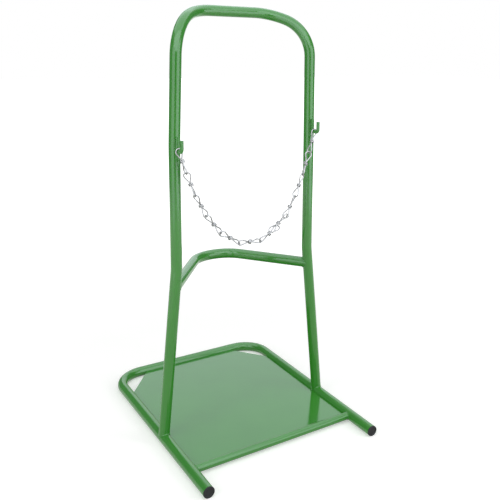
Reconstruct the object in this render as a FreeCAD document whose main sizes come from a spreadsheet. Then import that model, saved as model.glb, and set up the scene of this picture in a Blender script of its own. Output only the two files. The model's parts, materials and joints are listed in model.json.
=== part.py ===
import FreeCAD, Part
import math
import os
import Sketcher
from FreeCAD import Placement, Rotation, Vector

# Stand for one upright gas cylinder. A hoop of bent steel tube rises from a U-shaped base rail
# that frames a sheet-steel plate, with a bowed brace behind the cylinder and a knotted wire
# chain across the front. Millimetres, +Z up, the open end of the base towards -Y, the origin
# on the floor under the middle of the bounding box.

doc = FreeCAD.newDocument("gas_cylinder_stand")
sheet = doc.addObject("Spreadsheet::Sheet", "Sizes")


class Size:
    """A number with the sheet expression that gives it."""

    def __init__(self, value, text):
        self.value = value
        self.text = text

    def join(self, other, sign, value):
        text = other.text if isinstance(other, Size) else repr(float(other))
        return Size(value, "(" + self.text + " " + sign + " " + text + ")")

    def __add__(self, other):
        return self.join(other, "+", self.value + number(other))

    def __sub__(self, other):
        return self.join(other, "-", self.value - number(other))

    def __mul__(self, other):
        return self.join(other, "*", self.value * number(other))

    def __truediv__(self, other):
        return self.join(other, "/", self.value / number(other))

    def __neg__(self):
        return Size(-self.value, "(0 - " + self.text + ")")


class Given:
    """The driving dimensions, each as a Size that names its cell."""

    def __getattr__(self, alias):
        return Size(float(sizes[alias]), "Sizes." + alias)


def number(value):
    return value.value if isinstance(value, Size) else float(value)


# Driving dimensions, each written once and kept in the sheet under its own name
sizes = {
    # The tube frame
    "tube_diameter": 25.0,
    "tube_wall": 2.0,
    "weld_gap": 0.15,
    "base_length": 591.0,
    "rail_spacing": 416.0,
    "base_corner_radius": 68.0,
    "hoop_setback": 236.0,
    "stand_height": 980.0,
    "leg_spacing": 342.0,
    "hoop_corner_radius": 110.0,
    "flare_height": 405.0,
    "flare_radius": 150.0,
    "saddle_lip": 4.0,
    "brace_height": 364.0,
    "brace_reach": 181.0,
    "brace_crown": 82.0,
    "brace_bend_radius": 78.0,
    # The cross tube and the base plate
    "cross_diameter": 18.0,
    "cross_wall": 1.5,
    "cross_setback": 86.0,
    "plate_thickness": 2.5,
    "plate_cut_across": 68.0,
    "plate_cut_along": 92.0,
    # The foot plugs
    "plug_rim": 2.5,
    "plug_chamfer": 0.6,
    "plug_dish_radius": 8.5,
    "plug_dish_depth": 0.9,
    "plug_floor": 1.2,
    "plug_depth": 14.0,
    "plug_wall": 1.6,
    "plug_fit": 0.1,
    "barb_height": 0.8,
    "barb_pitch": 4.0,
    "barb_count": 3,
    # The chain hooks
    "hook_diameter": 8.0,
    "hook_reach": 40.0,
    "hook_rise": 25.0,
    "hook_bend_radius": 7.0,
    "hook_tip_round": 0.8,
    "left_hook_height": 672.0,
    "right_hook_height": 696.0,
    # The knotted chain
    "chain_links": 12,
    "wire_diameter": 3.0,
    "eye_reach": 29.2,
    "eye_radius": 7.2,
    "neck_offset": 1.3,
    "knot_turns": 2,
    "knot_pitch": 3.1,
    "knot_bite": 0.2,
    "link_slack": 0.5,
    "hook_slack": 0.3,
    # The one link that is caught slack: its neighbours hang closer together than they could
    "slack_link": 8,
    "slack_span": 28.0,
    "slack_along": -6.2,
    "slack_across": 4.3,
    "slack_back": 1.6,
    "slack_steeper": -5.9,
    "slack_tilt": -9.5,
}

# How far each link has turned about its own line, from the left hook to the right one, in degrees:
# the end eyes pass over the hook rods, and the others are never far from square to each other
link_rolls = (0, 30, 66, 54, 30, 24, 26, 303, 132, 114, 72, 96)

for row, (alias, value) in enumerate(sizes.items(), start=1):
    sheet.set("A" + str(row), alias)
    sheet.set("B" + str(row), str(value))
    sheet.setAlias("B" + str(row), alias)
doc.recompute()

given = Given()

# Places that several pieces share
tube_radius = given.tube_diameter / 2
tube_bore_radius = tube_radius - given.tube_wall
cope_radius = tube_radius + given.weld_gap
rail_x = given.rail_spacing / 2
leg_x = given.leg_spacing / 2
rail_z = tube_radius
front_y = given.plug_rim - given.base_length / 2
rear_y = given.base_length / 2 - tube_radius
hoop_y = front_y + given.hoop_setback
cross_y = front_y + given.cross_setback
hoop_top_z = given.stand_height - tube_radius
foot_z = rail_z + given.saddle_lip
flare_slope = (rail_x - leg_x) / (given.flare_height - foot_z)
brace_end_x = leg_x + flare_slope * (given.flare_height - given.brace_height)
chain_y = hoop_y - (given.hook_reach + tube_radius - given.hook_diameter / 2) / 2


# Helpers for bodies, sketches and bound sizes
def bind(thing, path, size):
    if isinstance(size, Size):
        thing.setExpression(path, size.text)


def new_body(label, x=0, y=0, z=0):
    body = doc.addObject("PartDesign::Body", label)
    body.Label = label
    body.Placement = Placement(Vector(number(x), number(y), number(z)), Rotation())
    bind(body, "Placement.Base.x", x)
    bind(body, "Placement.Base.y", y)
    bind(body, "Placement.Base.z", z)
    return body


def origin_feature(body, role):
    return [feature for feature in body.Origin.OriginFeatures if feature.Role == role][0]


def new_sketch(body, name, plane):
    sketch = body.newObject("Sketcher::SketchObject", name)
    sketch.AttachmentSupport = [(origin_feature(body, plane), "")]
    sketch.MapMode = "FlatFace"
    return sketch


def constrain(sketch, kind, *arguments, size=None):
    if size is None:
        return sketch.addConstraint(Sketcher.Constraint(kind, *arguments))
    index = sketch.addConstraint(Sketcher.Constraint(kind, *arguments, number(size)))
    bind(sketch, "Constraints[" + str(index) + "]", size)
    return index


def hold_point(sketch, geometry, end, x, y):
    # A point on an axis is tied to that axis, any other point takes its distance from the origin
    if number(x) == 0:
        constrain(sketch, "PointOnObject", geometry, end, -2)
    else:
        constrain(sketch, "DistanceX", -1, 1, geometry, end, size=x)
    if number(y) == 0:
        constrain(sketch, "PointOnObject", geometry, end, -1)
    else:
        constrain(sketch, "DistanceY", -1, 1, geometry, end, size=y)


def add_circle(sketch, x, y, radius):
    circle = sketch.addGeometry(
        Part.Circle(Vector(number(x), number(y), 0), Vector(0, 0, 1), number(radius)), False)
    constrain(sketch, "Radius", circle, size=radius)
    hold_point(sketch, circle, 3, x, y)


def add_outline(sketch, corners):
    points = [Vector(number(x), number(y), 0) for x, y in corners]
    lines = []
    for start, end in zip(points, points[1:] + points[:1]):
        lines.append(sketch.addGeometry(Part.LineSegment(start, end), False))
    for line, following in zip(lines, lines[1:] + lines[:1]):
        constrain(sketch, "Coincident", line, 2, following, 1)
    for line, (x, y) in zip(lines, corners):
        hold_point(sketch, line, 1, x, y)


def add_arc(sketch, first, middle, last):
    # Returns the arc and the ends at which it meets first and last: a sketch counts them leftward
    arc = sketch.addGeometry(Part.Arc(first, middle, last), False)
    leftward = (middle - first).cross(last - middle).z > 0
    return (arc, 1, 2) if leftward else (arc, 2, 1)


def add_bent_path(sketch, corners, radii):
    # Straight runs joined by arcs that are tangent to both neighbours at each inner corner
    points = [Vector(number(x), number(y), 0) for x, y in corners]
    starts = [points[0]]
    ends = []
    arcs = []
    for before, corner, after, radius in zip(points, points[1:], points[2:], radii):
        back = (before - corner).normalize()
        ahead = (after - corner).normalize()
        half = back.getAngle(ahead) / 2
        tangent = number(radius) / math.tan(half)
        middle = (back + ahead).normalize()
        centre = corner + middle * (number(radius) / math.sin(half))
        first, last = corner + back * tangent, corner + ahead * tangent
        arcs.append((first, centre - middle * number(radius), last))
        ends.append(first)
        starts.append(last)
    ends.append(points[-1])
    runs = [sketch.addGeometry(Part.LineSegment(start, end), False)
            for start, end in zip(starts, ends)]
    for index, arc in enumerate(arcs):
        bend, first_end, last_end = add_arc(sketch, *arc)
        constrain(sketch, "Tangent", runs[index], 2, bend, first_end)
        constrain(sketch, "Tangent", bend, last_end, runs[index + 1], 1)
        constrain(sketch, "Radius", bend, size=radii[index])
        corner = sketch.addGeometry(Part.Point(points[index + 1]), True)
        hold_point(sketch, corner, 1, *corners[index + 1])
        constrain(sketch, "PointOnObject", corner, 1, runs[index])
        constrain(sketch, "PointOnObject", corner, 1, runs[index + 1])
    hold_point(sketch, runs[0], 1, *corners[0])
    hold_point(sketch, runs[-1], 2, *corners[-1])


def add_pipe(body, name, profile, path):
    pipe = body.newObject("PartDesign::AdditivePipe", name)
    pipe.Profile = profile
    pipe.Spine = path
    body.Tip = pipe
    return pipe


def add_mirror(body, name, features, plane):
    mirror = body.newObject("PartDesign::Mirrored", name)
    mirror.Originals = features
    mirror.MirrorPlane = (origin_feature(body, plane), [""])
    body.Tip = mirror
    return mirror


def cut_through(body, name, sketch):
    cut = body.newObject("PartDesign::Pocket", name)
    cut.Profile = sketch
    cut.Type = "ThroughAll"
    cut.SideType = "Symmetric"
    body.Tip = cut
    return cut


def bent_tube(body, plane, corners, radii):
    # Half a symmetric tube, swept from the middle of its crown, then mirrored across x = 0
    path = new_sketch(body, body.Label + "_path", plane)
    add_bent_path(path, corners, radii)
    ring = new_sketch(body, body.Label + "_ring", "YZ_Plane")
    crown = corners[0][1]
    place = (0, crown) if plane == "XZ_Plane" else (crown, 0)
    add_circle(ring, *place, tube_radius)
    add_circle(ring, *place, tube_bore_radius)
    half = add_pipe(body, body.Label + "_half", ring, path)
    return add_mirror(body, body.Label + "_mirror", [half], "YZ_Plane")


def cope_on_rails(body):
    # Saddle cuts where the piece meets the two side runs of the base rail
    sketch = new_sketch(body, body.Label + "_saddles", "XZ_Plane")
    height = rail_z if number(body.Placement.Base.z) == 0 else 0
    add_circle(sketch, rail_x, height, cope_radius)
    add_circle(sketch, -rail_x, height, cope_radius)
    return cut_through(body, body.Label + "_cope", sketch)


# The hoop: one tube with two round top corners, its legs flared out to stand on the base rail
def upright_hoop():
    body = new_body("upright_hoop", y=hoop_y)
    bent_tube(body, "XZ_Plane",
              [(0, hoop_top_z), (leg_x, hoop_top_z), (leg_x, given.flare_height), (rail_x, foot_z)],
              [given.hoop_corner_radius, given.flare_radius])
    cope_on_rails(body)
    return body


# The base rail: a U of tube lying on the floor, open to the front
def base_rail():
    body = new_body("base_rail", z=rail_z)
    bent_tube(body, "XY_Plane",
              [(0, rear_y), (rail_x, rear_y), (rail_x, front_y)],
              [given.base_corner_radius])
    return body


# The cross tube: a thinner straight tube that closes the U in front of the plate
def front_cross_tube():
    body = new_body("front_cross_tube", y=cross_y, z=rail_z)
    ring = new_sketch(body, "front_cross_tube_ring", "YZ_Plane")
    add_circle(ring, 0, 0, given.cross_diameter / 2)
    add_circle(ring, 0, 0, given.cross_diameter / 2 - given.cross_wall)
    bar = body.newObject("PartDesign::Pad", "front_cross_tube_bar")
    bar.Profile = ring
    bar.SideType = "Symmetric"
    bind(bar, "Length", given.rail_spacing)
    body.Tip = bar
    cope_on_rails(body)
    return body


# The rear brace: a bowed tube behind the cylinder, coped round both legs of the hoop
def rear_brace():
    bow = new_body("rear_brace_bow", y=hoop_y, z=given.brace_height)
    bent_tube(bow, "XY_Plane",
              [(0, given.brace_reach), (given.brace_crown / 2, given.brace_reach), (brace_end_x, 0)],
              [given.brace_bend_radius])
    shape = bow
    for side, sign in (("left", -1), ("right", 1)):
        leg = doc.addObject("Part::Cylinder", side + "_leg_space")
        bind(leg, "Radius", cope_radius)
        bind(leg, "Height", given.tube_diameter * 4)
        # The cylinder follows the slope of the flared leg and reaches past the brace both ways
        drop = given.tube_diameter * 2
        bind(leg, "Placement.Base.x", (brace_end_x + flare_slope * drop) * sign)
        bind(leg, "Placement.Base.y", hoop_y)
        bind(leg, "Placement.Base.z", given.brace_height - drop)
        leg.Placement.Rotation = Rotation(Vector(0, 1, 0), 1)
        leg.setExpression("Placement.Rotation.Angle", "atan(" + (-flare_slope * sign).text + ")")
        cut = doc.addObject("Part::Cut", "rear_brace_" + side + "_cope")
        cut.Base = shape
        cut.Tool = leg
        shape = cut
    shape.Label = "rear_brace"
    return shape


# The plate the cylinder stands on: sheet steel between the rails, its rear corners cut off
def base_plate():
    body = new_body("base_plate", z=rail_z - given.plate_thickness / 2)
    side = rail_x - cope_radius
    rear = rear_y - cope_radius
    front = cross_y + given.cross_diameter / 2 + given.weld_gap
    sketch = new_sketch(body, "base_plate_outline", "XY_Plane")
    add_outline(sketch, [
        (-side, front), (side, front),
        (side, rear - given.plate_cut_along), (side - given.plate_cut_across, rear),
        (given.plate_cut_across - side, rear), (-side, rear - given.plate_cut_along)])
    sheet_metal = body.newObject("PartDesign::Pad", "base_plate_sheet")
    sheet_metal.Profile = sketch
    bind(sheet_metal, "Length", given.plate_thickness)
    body.Tip = sheet_metal
    return body


# A plug in each front end of the base rail: dished head, hollow barbed stem
def foot_plug(label, sign):
    body = new_body(label, x=rail_x * sign, y=front_y, z=rail_z)
    stem = tube_bore_radius - given.plug_fit - given.barb_height
    outline = [
        (given.plug_dish_depth - given.plug_rim, 0),
        (given.plug_dish_depth - given.plug_rim, given.plug_dish_radius),
        (-given.plug_rim, given.plug_dish_radius + given.plug_dish_depth),
        (-given.plug_rim, tube_radius - given.plug_chamfer),
        (given.plug_chamfer - given.plug_rim, tube_radius),
        (0, tube_radius),
        (0, stem)]
    for barb in range(int(number(given.barb_count))):
        outline.append((given.barb_pitch * barb + 1, stem))
        outline.append((given.barb_pitch * barb + 1.5, stem + given.barb_height))
        outline.append((given.barb_pitch * (barb + 0.9), stem))
    outline += [
        (given.plug_depth, stem),
        (given.plug_depth, stem - given.plug_wall),
        (given.plug_floor, stem - given.plug_wall),
        (given.plug_floor, 0)]
    sketch = new_sketch(body, label + "_section", "YZ_Plane")
    add_outline(sketch, outline)
    turned = body.newObject("PartDesign::Revolution", label + "_turned")
    turned.Profile = sketch
    turned.ReferenceAxis = (sketch, ["H_Axis"])
    turned.Angle = 360
    body.Tip = turned
    return body


# A chain hook on the front of each leg: a round rod bent up into an L
def chain_hook(label, sign, height):
    body = new_body(label, x=leg_x * sign, y=hoop_y, z=height)
    path = new_sketch(body, label + "_path", "YZ_Plane")
    add_bent_path(path, [(0, 0), (-given.hook_reach, 0), (-given.hook_reach, given.hook_rise)], [given.hook_bend_radius])
    section = new_sketch(body, label + "_section", "XZ_Plane")
    add_circle(section, 0, 0, given.hook_diameter / 2)
    add_pipe(body, label + "_rod", section, path)
    # The rod's end is coped to the front of the leg it is welded to
    saddle = new_sketch(body, label + "_saddle", "XY_Plane")
    add_circle(saddle, 0, 0, cope_radius)
    cope = cut_through(body, label + "_cope", saddle)
    doc.recompute()
    top = max(range(len(cope.Shape.Edges)), key=lambda index: cope.Shape.Edges[index].CenterOfMass.z)
    tip = body.newObject("PartDesign::Fillet", label + "_tip")
    tip.Base = (cope, ["Edge" + str(top + 1)])
    bind(tip, "Radius", given.hook_tip_round)
    body.Tip = tip
    return body


# One link of the knotted chain: two wire eyes set square to each other, and the wire wound
# round their necks between them. It lies along X with the middle of its knot at the origin.
def add_eye(body, name, path_plane, section_plane, sign):
    # Half an eye, from its crown round to the neck inside the knot, then mirrored
    crown = given.eye_reach * sign
    centre_x = (given.eye_reach - given.eye_radius) * sign
    path = new_sketch(body, name + "_path", path_plane)
    neck = Vector(0, number(given.neck_offset), 0)
    middle = Vector(number(centre_x), 0, 0)
    gap = neck - middle
    lean = math.asin(number(given.eye_radius) / gap.Length)
    to_tangent = Rotation(Vector(0, 0, 1), math.degrees(math.pi / 2 - lean) * sign)
    touch = middle + to_tangent.multVec(gap).normalize() * number(given.eye_radius)
    outer = Vector(number(crown), 0, 0)
    bulge = middle + (touch + outer - middle * 2).normalize() * number(given.eye_radius)
    arc, outer_end, touch_end = add_arc(path, outer, bulge, touch)
    run = path.addGeometry(Part.LineSegment(touch, neck), False)
    constrain(path, "Tangent", arc, touch_end, run, 1)
    constrain(path, "Radius", arc, size=given.eye_radius)
    constrain(path, "PointOnObject", arc, 3, -1)
    hold_point(path, arc, outer_end, crown, 0)
    hold_point(path, run, 2, 0, given.neck_offset)
    section = new_sketch(body, name + "_section", section_plane)
    add_circle(section, crown, 0, given.wire_diameter / 2)
    half = add_pipe(body, name + "_half", section, path)
    return add_mirror(body, name + "_mirror", [half], section_plane)


def chain_link_form():
    body = new_body("chain_link_form")
    add_eye(body, "first_eye", "XZ_Plane", "XY_Plane", -1)
    add_eye(body, "second_eye", "XY_Plane", "XZ_Plane", 1)
    winding = new_sketch(body, "knot_section", "XZ_Plane")
    wound_radius = given.neck_offset + given.wire_diameter - given.knot_bite
    add_circle(winding, -given.knot_pitch * given.knot_turns / 2, wound_radius, given.wire_diameter / 2)
    knot = body.newObject("PartDesign::AdditiveHelix", "knot")
    knot.Profile = winding
    knot.ReferenceAxis = (origin_feature(body, "X_Axis"), [""])
    knot.Mode = "pitch-turns-angle"
    bind(knot, "Pitch", given.knot_pitch)
    bind(knot, "Turns", given.knot_turns)
    body.Tip = knot
    return body


# The hanging chain: each link's slope is the one at which a run of equal weights balances
def hanging_slopes(lengths, across, rise):
    def reach(spread, shift):
        angles = [math.atan(spread * (index - shift)) for index in range(len(lengths))]
        along = sum(length * math.cos(angle) for length, angle in zip(lengths, angles))
        climb = sum(length * math.sin(angle) for length, angle in zip(lengths, angles))
        return angles, along, climb

    def balanced(spread):
        low, high = -1.0, float(len(lengths))
        for step in range(60):
            shift = (low + high) / 2
            low, high = (shift, high) if reach(spread, shift)[2] > rise else (low, shift)
        return shift

    shallow, steep = 0.001, 50.0
    for step in range(80):
        spread = math.sqrt(shallow * steep)
        along = reach(spread, balanced(spread))[1]
        shallow, steep = (spread, steep) if along > across else (shallow, spread)
    return reach(spread, balanced(spread))[0]


def chain(form):
    count = int(number(given.chain_links))
    slack = min(int(number(given.slack_link)), count - 1) - 1
    pitch = 2 * number(given.eye_reach) - number(given.wire_diameter) - number(given.link_slack)
    # The end links hang on the hook rods, so their crowns lie a little past the rods' middles
    seat = number(given.hook_diameter) / 2 + number(given.wire_diameter) / 2 + number(given.hook_slack)
    lengths = [number(given.eye_reach) - seat + pitch / 2] + [pitch] * (count - 2)
    lengths.append(lengths[0])
    lengths[slack] = number(given.slack_span)
    slopes = hanging_slopes(lengths, number(given.leg_spacing),
                            number(given.right_hook_height) - number(given.left_hook_height))
    joint = Vector(-number(leg_x), number(chain_y), number(given.left_hook_height))
    links = []
    for index, (length, slope) in enumerate(zip(lengths, slopes)):
        along = Vector(math.cos(slope), 0, math.sin(slope))
        knot = joint + along * (length - pitch / 2 if index == 0 else pitch / 2)
        steepness = math.degrees(slope)
        tilt = 0
        if index == slack:
            knot = joint + along * (length / 2 + number(given.slack_along))
            knot += Vector(-along.z, 0, along.x) * number(given.slack_across)
            knot += Vector(0, number(given.slack_back), 0)
            steepness += number(given.slack_steeper)
            tilt = number(given.slack_tilt)
        joint = joint + along * length
        # Turned about its own line, tilted backwards, then raised to its slope
        turn = Rotation(Vector(0, 1, 0), -steepness) * Rotation(Vector(0, 0, 1), tilt)
        turn = turn * Rotation(Vector(1, 0, 0), link_rolls[index % len(link_rolls)])
        link = new_body("chain_link_" + str(index + 1).zfill(2))
        link.BaseFeature = form
        link.Placement = Placement(knot, turn)
        links.append(link)
    return links


pieces = [
    upright_hoop(),
    rear_brace(),
    base_rail(),
    front_cross_tube(),
    base_plate(),
    foot_plug("foot_plug_left", -1),
    foot_plug("foot_plug_right", 1),
    chain_hook("hook_left", -1, given.left_hook_height),
    chain_hook("hook_right", 1, given.right_hook_height)]
link_form = chain_link_form()
doc.recompute()
pieces += chain(link_form)
doc.recompute()

# Every object has to be sound before anything is written
for thing in doc.Objects:
    if "Invalid" in thing.State or "Error" in thing.State:
        raise RuntimeError(thing.Label + " failed: " + str(thing.State))
for piece in pieces:
    if piece.Shape.isNull() or not piece.Shape.isValid() or len(piece.Shape.Solids) != 1:
        raise RuntimeError(piece.Label + " is not one valid solid")

os.makedirs("parts", exist_ok=True)
for piece in pieces:
    piece.Shape.exportStep("parts/" + piece.Label + ".step")
    box = piece.Shape.BoundBox
    print(piece.Label, "volume", round(piece.Shape.Volume, 1),
          "x", round(box.XMin, 1), round(box.XMax, 1),
          "y", round(box.YMin, 1), round(box.YMax, 1),
          "z", round(box.ZMin, 1), round(box.ZMax, 1))
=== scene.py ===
import json
import math

import bmesh
import bpy
from mathutils import Matrix, Vector


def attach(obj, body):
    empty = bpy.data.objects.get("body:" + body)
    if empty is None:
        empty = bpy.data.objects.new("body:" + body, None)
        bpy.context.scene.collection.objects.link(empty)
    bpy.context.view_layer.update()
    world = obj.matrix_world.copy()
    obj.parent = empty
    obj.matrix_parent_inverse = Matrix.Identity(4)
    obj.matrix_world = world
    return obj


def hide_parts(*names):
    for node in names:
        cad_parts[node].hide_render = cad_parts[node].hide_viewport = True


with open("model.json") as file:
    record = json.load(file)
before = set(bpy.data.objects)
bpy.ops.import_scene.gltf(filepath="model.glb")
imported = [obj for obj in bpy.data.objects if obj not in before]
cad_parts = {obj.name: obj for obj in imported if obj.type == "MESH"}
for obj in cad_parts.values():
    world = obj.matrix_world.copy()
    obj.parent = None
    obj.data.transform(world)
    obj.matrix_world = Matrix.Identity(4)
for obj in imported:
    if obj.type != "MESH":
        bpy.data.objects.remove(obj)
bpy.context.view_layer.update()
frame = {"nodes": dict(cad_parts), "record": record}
scene = bpy.context.scene
print("loaded", len(frame["nodes"]), "pieces of the frame")


def millimetres(value):
    return value / 1000


def linear(hexColour):
    # sRGB hex to the linear colour that the shaders take
    parts = [int(hexColour[i:i + 2], 16) / 255 for i in (1, 3, 5)]
    return [p / 12.92 if p <= 0.04045 else ((p + 0.055) / 1.055) ** 2.4 for p in parts] + [1.0]


def addNode(tree, kind, settings=None, **links):
    # links: an input's name, or its number after a low line, and a value, a socket or a node
    node = tree.nodes.new(kind)
    for name, value in (settings or {}).items():
        setattr(node, name, value)
    for name, value in links.items():
        socket = node.inputs[int(name[1:])] if name[0] == "_" else node.inputs[name.replace("_", " ")]
        if isinstance(value, bpy.types.Node):
            value = value.outputs[0]
        if isinstance(value, bpy.types.NodeSocket):
            tree.links.new(value, socket)
        else:
            socket.default_value = value
    return node


def newMaterial(name):
    material = bpy.data.materials.new(name)
    material.use_nodes = True
    tree = material.node_tree
    tree.nodes.clear()
    return material, tree


# Green gloss powder coat on steel tube, sprayed and stoved: an even, saturated green whose skin
# levels out to a faint orange peel, so that its reflections are bright but soft at their edges
powderCoat = {
    "colour": "#3B8F2E",
    "thinColour": "#37892C",
    "driftLength": 120.0,    # mm, over which the film's thickness drifts
    "driftRange": (0.3, 0.7),
    "peelSize": 6.0,         # mm, one dimple, drawn coarser than the real 2 so that it shows
    "peelDepth": 0.02,       # mm
    "roughness": 0.12,
    "ior": 1.52,
}


def greenPowderCoat():
    material, tree = newMaterial("greenPowderCoat")
    place = addNode(tree, "ShaderNodeTexCoord").outputs["Object"]
    drift = addNode(tree, "ShaderNodeTexNoise", Vector=place, Scale=1000 / powderCoat["driftLength"],
                    Detail=2.0, Roughness=0.5)
    thin, full = powderCoat["driftRange"]
    share = addNode(tree, "ShaderNodeMapRange", Value=drift, From_Min=thin, From_Max=full)
    colour = addNode(tree, "ShaderNodeMix", {"data_type": "RGBA"}, _0=share,
                     _6=linear(powderCoat["thinColour"]), _7=linear(powderCoat["colour"]))
    peel = addNode(tree, "ShaderNodeTexNoise", Vector=place, Scale=1000 / powderCoat["peelSize"],
                   Detail=1.0, Roughness=0.4)
    bump = addNode(tree, "ShaderNodeBump", Height=peel, Strength=1.0,
                   Distance=millimetres(powderCoat["peelDepth"]))
    paint = addNode(tree, "ShaderNodeBsdfPrincipled", Base_Color=colour.outputs[2],
                    Roughness=powderCoat["roughness"], IOR=powderCoat["ior"], Normal=bump)
    addNode(tree, "ShaderNodeOutputMaterial", Surface=paint)
    return material


# Zinc plating on drawn steel wire: a soft grey metal, no longer bright, cloudy where the passivation
# is thicker, with the fine drawn grain of the wire under it
zincPlate = {
    "colour": "#8A8988",
    "cloudyColour": "#AAA9A7",
    "cloudSize": 7.0,        # mm
    "cloudRange": (0.35, 0.7),
    "grain": 0.8,            # mm, drawn coarser than the real 0.2 so that it shows
    "grainStrength": 0.3,
    "grainDepth": 0.03,      # mm
    "roughness": (0.42, 0.56),
}


def zincPlatedWire():
    material, tree = newMaterial("zincPlatedWire")
    place = addNode(tree, "ShaderNodeTexCoord").outputs["Object"]
    cloud = addNode(tree, "ShaderNodeTexNoise", Vector=place, Scale=1000 / zincPlate["cloudSize"],
                    Detail=3.0, Roughness=0.6)
    clear, cloudy = zincPlate["cloudRange"]
    share = addNode(tree, "ShaderNodeMapRange", Value=cloud, From_Min=clear, From_Max=cloudy)
    colour = addNode(tree, "ShaderNodeMix", {"data_type": "RGBA"}, _0=share,
                     _6=linear(zincPlate["colour"]), _7=linear(zincPlate["cloudyColour"]))
    rough = addNode(tree, "ShaderNodeMapRange", Value=cloud, From_Min=clear, From_Max=cloudy,
                    To_Min=zincPlate["roughness"][0], To_Max=zincPlate["roughness"][1])
    grain = addNode(tree, "ShaderNodeTexNoise", Vector=place, Scale=1000 / zincPlate["grain"], Detail=2.0)
    bump = addNode(tree, "ShaderNodeBump", Height=grain, Strength=zincPlate["grainStrength"],
                   Distance=millimetres(zincPlate["grainDepth"]))
    metal = addNode(tree, "ShaderNodeBsdfPrincipled", Base_Color=colour.outputs[2], Metallic=1.0,
                    Roughness=rough, Normal=bump)
    addNode(tree, "ShaderNodeOutputMaterial", Surface=metal)
    return material


# Black polyethylene, injection moulded: a dull waxy black with the mould's fine spark grain
polyethylene = {
    "colour": "#060606",
    "scuffedColour": "#0E0E0D",
    "scuffSize": 11.0,       # mm
    "scuffRange": (0.4, 0.8),
    "grain": 0.6,            # mm
    "grainStrength": 0.3,
    "grainDepth": 0.05,      # mm
    "roughness": 0.6,
    "ior": 1.4,
}


def blackPolyethylene():
    material, tree = newMaterial("blackPolyethylene")
    place = addNode(tree, "ShaderNodeTexCoord").outputs["Object"]
    cloud = addNode(tree, "ShaderNodeTexNoise", Vector=place, Scale=1000 / polyethylene["scuffSize"],
                    Detail=3.0)
    clean, scuffed = polyethylene["scuffRange"]
    share = addNode(tree, "ShaderNodeMapRange", Value=cloud, From_Min=clean, From_Max=scuffed)
    colour = addNode(tree, "ShaderNodeMix", {"data_type": "RGBA"}, _0=share,
                     _6=linear(polyethylene["colour"]), _7=linear(polyethylene["scuffedColour"]))
    grain = addNode(tree, "ShaderNodeTexNoise", Vector=place, Scale=1000 / polyethylene["grain"],
                    Detail=1.0)
    bump = addNode(tree, "ShaderNodeBump", Height=grain, Strength=polyethylene["grainStrength"],
                   Distance=millimetres(polyethylene["grainDepth"]))
    plastic = addNode(tree, "ShaderNodeBsdfPrincipled", Base_Color=colour.outputs[2],
                      Roughness=polyethylene["roughness"], IOR=polyethylene["ior"], Normal=bump)
    addNode(tree, "ShaderNodeOutputMaterial", Surface=plastic)
    return material


finishes = {"green_paint": greenPowderCoat(), "zinc": zincPlatedWire(), "black_plastic": blackPolyethylene()}
slotOfNode = {part["node"]: part["material_slot"] for part in frame["record"]["subparts"]}
for name, node in frame["nodes"].items():
    node.data.materials.clear()
    node.data.materials.append(finishes[slotOfNode[name]])
print("finishes on", len(slotOfNode), "pieces")

# The middle lines of the frame's tubes, in mm, as its solids have them
tubing = {
    "tube": 12.5,             # radius
    "crossTube": 9.0,         # radius
    "hookRod": 4.0,           # radius
    "seamGap": 0.15,          # left in the solids for each weld
    "railX": 208.0,
    "railHeight": 12.5,
    "footHeight": 16.5,
    "legX": 171.0,
    "hoopY": -57.0,
    "flareHeight": 405.0,
    "braceHeight": 364.0,
    "braceReach": 181.0,
    "braceCrown": 82.0,
    "crossY": -207.0,
    "rearY": 283.0,
    "hookHeights": (672.0, 696.0),
    "plateUnder": 11.25,
    "plateCut": 92.0,         # along the rail, at each rear corner
}


def legAt(height):
    # How far the flared part of a leg stands from the middle at this height
    slope = (tubing["railX"] - tubing["legX"]) / (tubing["flareHeight"] - tubing["footHeight"])
    return tubing["legX"] + slope * (tubing["flareHeight"] - height)


# The hoop, in mm: above the chain its legs draw in a little, and the tube sweeps back and up over two
# corners into a bar that is bowed to the rear, as the brace is. The frame's solid hoop is flat there.
hoop = {
    "sides": 48,
    "stepsInBend": 24,
    "footHeight": 12.5,       # the legs end inside the rails, at their middle line
    "kneeBend": 150.0,
    "drawInHeight": 680.0,
    "drawInBend": 600.0,
    "drawnIn": 5.5,           # each leg, towards the middle, at the corner
    "drawnForward": 7.0,
    "cornerBend": 90.0,
    "cornerHeight": 937.0,    # where the leg's line and the arm's line would cross
    "barBend": 84.0,
    "barHalf": 90.0,          # from the middle to the bar's corner
    "barBack": 62.0,          # behind the leg's line
    "barHeight": 969.5,
}


def hoopCorners():
    # The corners of the tube's middle line, in mm, each with its bend radius, from left to right
    knee = tubing["legX"]
    top, topY = knee - hoop["drawnIn"], tubing["hoopY"] - hoop["drawnForward"]
    half = [
        (legAt(hoop["footHeight"]), tubing["hoopY"], hoop["footHeight"], 0.0),
        (knee, tubing["hoopY"], tubing["flareHeight"], hoop["kneeBend"]),
        (knee, tubing["hoopY"], hoop["drawInHeight"], hoop["drawInBend"]),
        (top, topY, hoop["cornerHeight"], hoop["cornerBend"]),
        (hoop["barHalf"], tubing["hoopY"] + hoop["barBack"], hoop["barHeight"], hoop["barBend"]),
    ]
    return [(-x, y, z, bend) for x, y, z, bend in half] + half[::-1]


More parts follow.
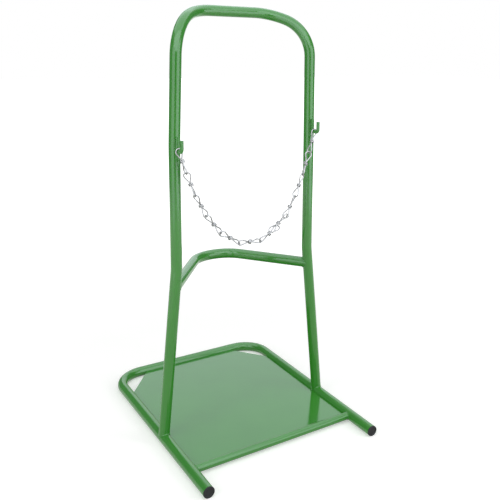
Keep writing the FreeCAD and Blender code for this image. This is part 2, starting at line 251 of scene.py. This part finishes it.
def bentTubeTree(finish):
    tree = bpy.data.node_groups.new("bentTube", "GeometryNodeTree")
    sockets = {}
    for label, kind in (("Corners", "NodeSocketGeometry"), ("Tube Radius", "NodeSocketFloat"),
                        ("Sides", "NodeSocketInt"), ("Steps In A Bend", "NodeSocketInt")):
        sockets[label] = tree.interface.new_socket(name=label, in_out="INPUT", socket_type=kind)
    tree.interface.new_socket(name="Tube", in_out="OUTPUT", socket_type="NodeSocketGeometry")
    given = addNode(tree, "NodeGroupInput").outputs
    bend = addNode(tree, "GeometryNodeInputRadius")
    bent = addNode(tree, "GeometryNodeFilletCurve", {"mode": "POLY"}, Curve=given["Corners"],
                   Count=given["Steps In A Bend"], Radius=bend)
    even = addNode(tree, "GeometryNodeSetCurveRadius", Curve=bent, Radius=1.0)
    ring = addNode(tree, "GeometryNodeCurvePrimitiveCircle", Resolution=given["Sides"],
                   Radius=given["Tube Radius"])
    swept = addNode(tree, "GeometryNodeCurveToMesh", Curve=even, Profile_Curve=ring, Fill_Caps=True)
    smooth = addNode(tree, "GeometryNodeSetShadeSmooth", Geometry=swept)
    real = addNode(tree, "GeometryNodeRealizeInstances", Geometry=smooth)
    painted = addNode(tree, "GeometryNodeSetMaterial", Geometry=real, Material=finish)
    addNode(tree, "NodeGroupOutput", Tube=painted)
    return tree, sockets


def pathObject(name, lines):
    # lines: for each one whether it is closed, and its points in mm with the radius that they carry
    curve = bpy.data.curves.new(name, "CURVE")
    curve.dimensions = "3D"
    for closed, points in lines:
        spline = curve.splines.new("POLY")
        spline.points.add(len(points) - 1)
        spline.use_cyclic_u = closed
        for point, (x, y, z, carried) in zip(spline.points, points):
            point.co = (millimetres(x), millimetres(y), millimetres(z), 1.0)
            point.radius = carried
    made = bpy.data.objects.new(name, curve)
    scene.collection.objects.link(made)
    return made


def grownMesh(name, paths, tree, sockets, sizes):
    # Runs the tree on the paths, with these sizes in its named inputs, and leaves a plain mesh object
    maker = paths.modifiers.new("maker", "NODES")
    maker.node_group = tree
    for label, value in sizes.items():
        maker[sockets[label].identifier] = value
    ready = paths.evaluated_get(bpy.context.evaluated_depsgraph_get())
    mesh = bpy.data.meshes.new_from_object(ready)
    mesh.name = name
    paths.modifiers.remove(maker)
    bpy.data.objects.remove(paths)
    piece = bpy.data.objects.new(name, mesh)
    scene.collection.objects.link(piece)
    print(name + ":", len(mesh.polygons), "faces")
    return piece


def hoopTube(tree, sockets):
    corners = [(x, y, z, millimetres(bend)) for x, y, z, bend in hoopCorners()]
    tube = grownMesh("hoopTube", pathObject("hoopCorners", [(False, corners)]), tree, sockets,
                     {"Tube Radius": millimetres(tubing["tube"]), "Sides": hoop["sides"],
                      "Steps In A Bend": hoop["stepsInBend"]})
    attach(tube, "stand")
    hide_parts("upright_hoop")


# The hooks' rear arms: each hook's rod is bent up against its leg, where it is welded on lengthwise
hookArm = {
    "length": 29.0,           # mm above the rod's middle line
    "sides": 28,
    "stitchAside": 0.9,       # where its two stitches lie, as a share of the rod's radius
    "stitchRun": (0.15, 0.5, 0.95),   # their start, middle and end, as a share of its length
}


def hookArmLine(side, height):
    # The arm's middle line, from its foot on the hook's rod to its top
    y = tubing["hoopY"] - tubing["tube"] - tubing["hookRod"]
    return [Vector((side * tubing["legX"], y, height + lift)) for lift in (0.0, hookArm["length"])]


def hookArms(tree, sockets):
    lines = [(False, [(*place, 0.0) for place in hookArmLine(side, height)])
             for side, height in zip((-1, 1), tubing["hookHeights"])]
    arms = grownMesh("hookArms", pathObject("hookArmLines", lines), tree, sockets,
                     {"Tube Radius": millimetres(tubing["hookRod"]), "Sides": hookArm["sides"],
                      "Steps In A Bend": 1})
    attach(arms, "stand")


# Weld beads, painted over with the frame: one round each seam, a little lumpy where the welder
# moved on, and thin where the two tubes run into each other
weld = {
    "beadRadius": 1.7,        # mm, on the 25 mm tubes
    "beadSides": 12,
    "thinBead": 0.75,         # share of that on the cross tube, the hooks and the stitches
    "flushBead": 0.4,         # share of it where the two tubes run into each other
    "ripplePitch": 2.6,       # mm between two lumps
    "stepsInRipple": 6.0,
    "rippleDepth": 0.10,      # share of the radius
    "unevenness": 0.35,
    "lumpSize": 6.25,         # mm
    "seed": 7,
    "pointsRound": {"tube": 56, "crossTube": 40, "hookRod": 28},
    "stitchLength": 26.0,     # mm, under the plate
    "stitchesAcross": 3,
    "pitchAcross": 105.0,
    "stitchesAlong": 4,
    "marginsAlong": (40.0, 30.0),     # from the cross tube, and from the cut corner
}


def seamRound(joint, into, kind, axis, share=1.0):
    # The loop on which a tube of this kind, running away from the joint along into, meets the tube
    # that carries it, whose middle line passes through the joint along axis
    into, axis = into.normalized(), axis.normalized()
    across = axis.cross(into).normalized()
    upright = into.cross(across)
    radius, count = tubing[kind], weld["pointsRound"][kind]
    carrier = tubing["tube"] + tubing["seamGap"] / 2
    flush = weld["flushBead"]
    loop = []
    for step in range(count):
        angle = 2 * math.pi * step / count
        outward = across * math.cos(angle) + upright * math.sin(angle)
        start = outward * radius
        # both as seen along the carrier's line
        flatStart, flatInto = start - axis * start.dot(axis), into - axis * into.dot(axis)
        a, b = flatInto.dot(flatInto), flatStart.dot(flatInto)
        c = flatStart.dot(flatStart) - carrier ** 2
        reach = (-b + math.sqrt(max(0.0, b * b - a * c))) / a
        spot = start + into * reach
        rise = (spot - axis * spot.dot(axis)).normalized()
        corner = math.sqrt(max(0.0, 1 - max(0.0, rise.dot(outward)) ** 2))
        loop.append((joint + spot, share * (flush + (1 - flush) * corner)))
    return loop


def weldSeams():
    # The closed loops, each a list of points in mm with the bead's share there
    along, loops = Vector((0, 1, 0)), []
    for side, hookHeight in zip((-1, 1), tubing["hookHeights"]):
        foot = Vector((side * tubing["railX"], tubing["hoopY"], tubing["footHeight"]))
        knee = Vector((side * tubing["legX"], tubing["hoopY"], tubing["flareHeight"]))
        rail = Vector((foot.x, foot.y, tubing["railHeight"]))
        slope = (knee - foot).normalized()
        loops.append(seamRound(rail, slope, "tube", along))
        end = Vector((side * legAt(tubing["braceHeight"]), tubing["hoopY"], tubing["braceHeight"]))
        corner = Vector((side * tubing["braceCrown"] / 2, tubing["hoopY"] + tubing["braceReach"], end.z))
        loops.append(seamRound(end, corner - end, "tube", slope))
        hook = Vector((side * tubing["legX"], tubing["hoopY"], hookHeight))
        loops.append(seamRound(hook, -along, "hookRod", Vector((0, 0, 1)), weld["thinBead"]))
        crossEnd = Vector((side * tubing["railX"], tubing["crossY"], tubing["railHeight"]))
        loops.append(seamRound(crossEnd, Vector((-side, 0, 0)), "crossTube", along, weld["thinBead"]))
    return loops


def weldStitches():
    # The open runs, in the same form
    edge = tubing["railX"] - tubing["tube"]
    rear, front = tubing["rearY"] - tubing["tube"], tubing["crossY"] + tubing["crossTube"]
    half, height = weld["stitchLength"] / 2, tubing["plateUnder"]
    first, last = front + weld["marginsAlong"][0], rear - tubing["plateCut"] - weld["marginsAlong"][1]
    stitches = []
    for index in range(weld["stitchesAlong"]):
        middle = first + (last - first) * index / (weld["stitchesAlong"] - 1)
        for side in (-1, 1):
            stitches.append([Vector((side * edge, middle + step * half, height)) for step in (-1, 0, 1)])
    for index in range(weld["stitchesAcross"]):
        middle = weld["pitchAcross"] * (index - (weld["stitchesAcross"] - 1) / 2)
        for y in (rear, front):
            stitches.append([Vector((middle + step * half, y, height)) for step in (-1, 0, 1)])
    # beside each hook's rear arm, in the corner between it and the leg
    aside = tubing["hookRod"] * hookArm["stitchAside"]
    inset = tubing["tube"] - math.sqrt(tubing["tube"] ** 2 - aside ** 2)
    for side, height in zip((-1, 1), tubing["hookHeights"]):
        foot, top = hookArmLine(side, height)
        for across in (-aside, aside):
            shift = Vector((across, tubing["hookRod"] + inset, 0))
            stitches.append([foot.lerp(top, share) + shift for share in hookArm["stitchRun"]])
    return [[(point, weld["thinBead"]) for point in stitch] for stitch in stitches]


def beadTree(finish):
    tree = bpy.data.node_groups.new("weldBead", "GeometryNodeTree")
    sockets = {}
    for label, kind in (("Seams", "NodeSocketGeometry"), ("Bead Radius", "NodeSocketFloat"),
                        ("Ripple Pitch", "NodeSocketFloat"), ("Ripple Depth", "NodeSocketFloat"),
                        ("Unevenness", "NodeSocketFloat"), ("Seed", "NodeSocketFloat")):
        sockets[label] = tree.interface.new_socket(name=label, in_out="INPUT", socket_type=kind)
    tree.interface.new_socket(name="Beads", in_out="OUTPUT", socket_type="NodeSocketGeometry")
    given = addNode(tree, "NodeGroupInput").outputs
    step = addNode(tree, "ShaderNodeMath", {"operation": "DIVIDE"}, _0=given["Ripple Pitch"],
                   _1=weld["stepsInRipple"])
    even = addNode(tree, "GeometryNodeResampleCurve", {"mode": "LENGTH"}, Curve=given["Seams"], Length=step)
    # the ripple: a wave along the seam
    walked = addNode(tree, "GeometryNodeSplineParameter").outputs["Length"]
    turns = addNode(tree, "ShaderNodeMath", {"operation": "DIVIDE"}, _0=walked, _1=given["Ripple Pitch"])
    phase = addNode(tree, "ShaderNodeMath", {"operation": "MULTIPLY"}, _0=turns, _1=2 * math.pi)
    wave = addNode(tree, "ShaderNodeMath", {"operation": "SINE"}, _0=phase)
    ripple = addNode(tree, "ShaderNodeMath", {"operation": "MULTIPLY_ADD"}, _0=wave,
                     _1=given["Ripple Depth"], _2=1.0)
    # the uneven hand: slow noise of the place
    lumps = addNode(tree, "ShaderNodeTexNoise", {"noise_dimensions": "4D"}, W=given["Seed"],
                    Scale=1000 / weld["lumpSize"], Detail=1.0)
    centred = addNode(tree, "ShaderNodeMath", {"operation": "SUBTRACT"}, _0=lumps, _1=0.5)
    hand = addNode(tree, "ShaderNodeMath", {"operation": "MULTIPLY_ADD"}, _0=centred,
                   _1=given["Unevenness"], _2=ripple)
    local = addNode(tree, "GeometryNodeInputRadius")
    size = addNode(tree, "ShaderNodeMath", {"operation": "MULTIPLY"}, _0=local, _1=given["Bead Radius"])
    full = addNode(tree, "ShaderNodeMath", {"operation": "MULTIPLY"}, _0=size, _1=hand)
    ring = addNode(tree, "GeometryNodeCurvePrimitiveCircle", Resolution=weld["beadSides"], Radius=1.0)
    sweep = addNode(tree, "GeometryNodeCurveToMesh", Curve=even, Profile_Curve=ring, Scale=full,
                    Fill_Caps=True)
    smooth = addNode(tree, "GeometryNodeSetShadeSmooth", Geometry=sweep)
    real = addNode(tree, "GeometryNodeRealizeInstances", Geometry=smooth)
    painted = addNode(tree, "GeometryNodeSetMaterial", Geometry=real, Material=finish)
    addNode(tree, "NodeGroupOutput", Beads=painted)
    return tree, sockets


def weldBeads():
    lines = [(True, [(*place, share) for place, share in loop]) for loop in weldSeams()]
    lines += [(False, [(*place, share) for place, share in stitch]) for stitch in weldStitches()]
    tree, sockets = beadTree(finishes["green_paint"])
    beads = grownMesh("weldBeads", pathObject("weldSeams", lines), tree, sockets,
                      {"Bead Radius": millimetres(weld["beadRadius"]),
                       "Ripple Pitch": millimetres(weld["ripplePitch"]),
                       "Ripple Depth": weld["rippleDepth"], "Unevenness": weld["unevenness"],
                       "Seed": float(weld["seed"])})
    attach(beads, "stand")


bentTube = bentTubeTree(finishes["green_paint"])
hoopTube(*bentTube)
hookArms(*bentTube)
weldBeads()

# The studio: a pale floor under a white sky, and soft lamps left, right and above. The tubes' bright
# stripes and dark edges are reflections of cards, which stand round the stand and light nothing.
studio = {
    "floorColour": "#E6E7E6",
    "floorReach": 14.0,
    "floorGap": 0.05,                 # mm under the rails, so that no face of theirs lies in it
    "floorGlow": (0.42, 1.0),
    "floorGlowReach": (0.5, 2.2),     # m from the stand's middle
    "skyColour": "#FFFFFF",
    "cardColour": "#F0F6FF",
    "skyLight": 0.5,
    "aim": (0.0, -0.05, 0.5),
    # azimuth, elevation, distance, width, height in m, radiance
    "lamps": {
        "left": (195, 20, 2.2, 0.9, 1.2, 3.0),
        "right": (-50, 20, 2.2, 0.9, 1.2, 4.0),
        "top": (250, 80, 2.4, 1.4, 1.4, 1.7),
    },
    # azimuth, elevation, distance, width, height in m, brightness
    "cards": {
        "leftStripe": (209, 4, 2.0, 1.6, 1.6, 3.0),
        "rightStripe": (299, 4, 2.0, 2.1, 1.6, 3.7),
        "frontGap": (249, 6, 2.4, 0.8, 1.3, 0.1),
        "frontHigh": (248, 38, 2.2, 4.0, 1.8, 4.5),
        "overhead": (248, 90, 2.0, 3.6, 3.6, 2.9),
        "rear": (62, 22, 3.0, 2.6, 1.5, 2.05),
        "leftFlag": (130, 14, 2.5, 4.4, 2.3, 0.35),
        "rightFlag": (2, 14, 2.5, 3.4, 2.3, 0.35),
    },
}


def paleFloor():
    material, tree = newMaterial("paleFloor")
    ray = addNode(tree, "ShaderNodeLightPath").outputs
    seen = addNode(tree, "ShaderNodeMath", {"operation": "MAXIMUM"}, _0=ray["Is Camera Ray"],
                   _1=ray["Is Glossy Ray"])
    either = addNode(tree, "ShaderNodeMath", {"operation": "MAXIMUM"}, _0=seen,
                     _1=ray["Is Transmission Ray"])
    # the floor shines a little of its own near the stand, where its shadow lies, and fully further out
    place = addNode(tree, "ShaderNodeTexCoord").outputs["Object"]
    away = addNode(tree, "ShaderNodeVectorMath", {"operation": "LENGTH"}, _0=place).outputs["Value"]
    near, far = studio["floorGlowReach"]
    glowing = addNode(tree, "ShaderNodeMapRange", {"interpolation_type": "SMOOTHSTEP"}, Value=away,
                      From_Min=near, From_Max=far, To_Min=studio["floorGlow"][0],
                      To_Max=studio["floorGlow"][1])
    strength = addNode(tree, "ShaderNodeMath", {"operation": "MULTIPLY"}, _0=either, _1=glowing)
    matt = addNode(tree, "ShaderNodeBsdfDiffuse", Color=linear(studio["floorColour"]))
    glow = addNode(tree, "ShaderNodeEmission", Color=linear(studio["skyColour"]), Strength=strength)
    both = addNode(tree, "ShaderNodeAddShader", _0=matt, _1=glow)
    addNode(tree, "ShaderNodeOutputMaterial", Surface=both)
    return material


def floor():
    mesh = bpy.data.meshes.new("floor")
    shape = bmesh.new()
    bmesh.ops.create_grid(shape, x_segments=1, y_segments=1, size=studio["floorReach"])
    shape.to_mesh(mesh)
    shape.free()
    plane = bpy.data.objects.new("floor", mesh)
    mesh.materials.append(paleFloor())
    scene.collection.objects.link(plane)
    plane.location.z = -millimetres(studio["floorGap"])


def sky():
    world = bpy.data.worlds.new("paleSky")
    world.use_nodes = True
    tree = world.node_tree
    tree.nodes.clear()
    ray = addNode(tree, "ShaderNodeLightPath").outputs
    seen = addNode(tree, "ShaderNodeMath", {"operation": "MAXIMUM"}, _0=ray["Is Camera Ray"],
                   _1=ray["Is Glossy Ray"])
    either = addNode(tree, "ShaderNodeMath", {"operation": "MAXIMUM"}, _0=seen,
                     _1=ray["Is Transmission Ray"])
    strength = addNode(tree, "ShaderNodeMapRange", Value=either, To_Min=studio["skyLight"], To_Max=1.0)
    glow = addNode(tree, "ShaderNodeBackground", Color=linear(studio["skyColour"]), Strength=strength)
    addNode(tree, "ShaderNodeOutputWorld", Surface=glow)
    scene.world = world


def outward(azimuth, elevation=0):
    azimuth, elevation = math.radians(azimuth), math.radians(elevation)
    return Vector((math.cos(azimuth) * math.cos(elevation), math.sin(azimuth) * math.cos(elevation),
                   math.sin(elevation)))


def faceAim(azimuth, elevation, distance):
    away = outward(azimuth, elevation)
    turn = (-away).to_track_quat("-Z", "Y").to_matrix().to_4x4()
    return Matrix.Translation(Vector(studio["aim"]) + away * distance) @ turn


def lamps():
    for name, (azimuth, elevation, distance, width, height, radiance) in studio["lamps"].items():
        light = bpy.data.lights.new(name + "Lamp", "AREA")
        light.shape = "RECTANGLE"
        light.size, light.size_y = width, height
        light.energy = radiance * math.pi * width * height
        lamp = bpy.data.objects.new(name + "Lamp", light)
        lamp.matrix_world = faceAim(azimuth, elevation, distance)
        lamp.visible_camera = False
        lamp.visible_glossy = False
        scene.collection.objects.link(lamp)


def cards():
    for name, (azimuth, elevation, distance, width, height, brightness) in studio["cards"].items():
        material, tree = newMaterial(name + "Card")
        cloth = addNode(tree, "ShaderNodeEmission", Color=linear(studio["cardColour"]),
                        Strength=brightness)
        addNode(tree, "ShaderNodeOutputMaterial", Surface=cloth)
        mesh = bpy.data.meshes.new(name + "Card")
        w, h = width / 2, height / 2
        mesh.from_pydata([(w, -h, 0), (-w, -h, 0), (-w, h, 0), (w, h, 0)], [], [(0, 1, 2, 3)])
        mesh.materials.append(material)
        card = bpy.data.objects.new(name + "Card", mesh)
        mesh.transform(faceAim(azimuth, elevation, distance))
        for kind in ("camera", "diffuse", "shadow", "transmission", "volume_scatter"):
            setattr(card, "visible_" + kind, False)
        scene.collection.objects.link(card)


# The camera stands in front, to the left and a little above, turned by a slight roll; the shift
# brings back the part of the picture that its frame shows
view = {
    "azimuth": -35.29,
    "elevation": 10.381,
    "roll": 1.364,
    "distance": 1.744865,
    "target": (0.24563, -0.057, 0.59178),
    "lens": 50.293,
    "shift": (-0.16597, -0.15936),
}


def camera():
    azimuth, elevation = math.radians(view["azimuth"]), math.radians(view["elevation"])
    ahead = Vector((-math.sin(azimuth) * math.cos(elevation), math.cos(azimuth) * math.cos(elevation),
                    -math.sin(elevation)))
    right = ahead.cross(Vector((0, 0, 1))).normalized()
    up = right.cross(ahead)
    turn = Matrix((right, up, -ahead)).transposed()
    turn = turn @ Matrix.Rotation(math.radians(view["roll"]), 3, "Z")
    lens = bpy.data.cameras.new("camera")
    lens.sensor_width = 36.0
    lens.lens = view["lens"]
    lens.shift_x, lens.shift_y = view["shift"]
    eye = bpy.data.objects.new("camera", lens)
    eye.matrix_world = Matrix.Translation(Vector(view["target"]) - ahead * view["distance"]) @ turn.to_4x4()
    scene.collection.objects.link(eye)
    scene.camera = eye


floor()
sky()
lamps()
cards()
camera()
scene.view_settings.view_transform = "Standard"
print("studio and camera ready")
